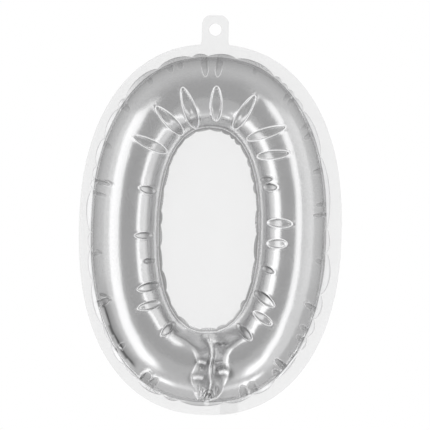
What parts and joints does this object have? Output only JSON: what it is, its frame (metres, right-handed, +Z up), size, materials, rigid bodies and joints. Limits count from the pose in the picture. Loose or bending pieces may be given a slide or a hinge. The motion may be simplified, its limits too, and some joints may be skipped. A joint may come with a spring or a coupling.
{
  "type": "foil number balloon",
  "caption": "Puffed silver foil numeral zero in a flat clear film with a hang tab, and a self-sealing valve sleeve at its foot.",
  "frame": {"origin": "centre of the hang hole, on the plane where the front and back plies meet", "axes": "+Z up from the balloon to its tab, the front faces -Y, +X to the right seen from the front"},
  "size_m": [0.263, 0.06, 0.4],
  "materials": {
    "silver_foil": "satin metallised film",
    "clear_film": "clear glossy film",
    "valve_film": "milky soft film"
  },
  "bodies": {
    "hang_tab": {"front_tab": "clear_film", "back_tab": "clear_film"},
    "balloon": {"front_foil": "silver_foil", "back_foil": "silver_foil", "front_border": "clear_film", "back_border": "clear_film", "front_window": "clear_film", "back_window": "clear_film", "valve_front_film": "valve_film", "valve_back_film": "valve_film"},
    "valve_tail": {"valve_front_tail": "valve_film", "valve_back_tail": "valve_film"}
  },
  "joints": [
    {"name": "tab_fold", "type": "hinge", "parent": "hang_tab", "child": "balloon", "pos_m": [0, 0, -0.0139], "axis": [1, 0, 0], "range_deg": [-90, 90]},
    {"name": "valve_tail_swing", "type": "hinge", "parent": "balloon", "child": "valve_tail", "pos_m": [0.023, 0, -0.36572], "axis": [1, 0, 0], "range_deg": [-10, 10], "stiffness_Nm_per_rad": 0.00005}
  ]
}
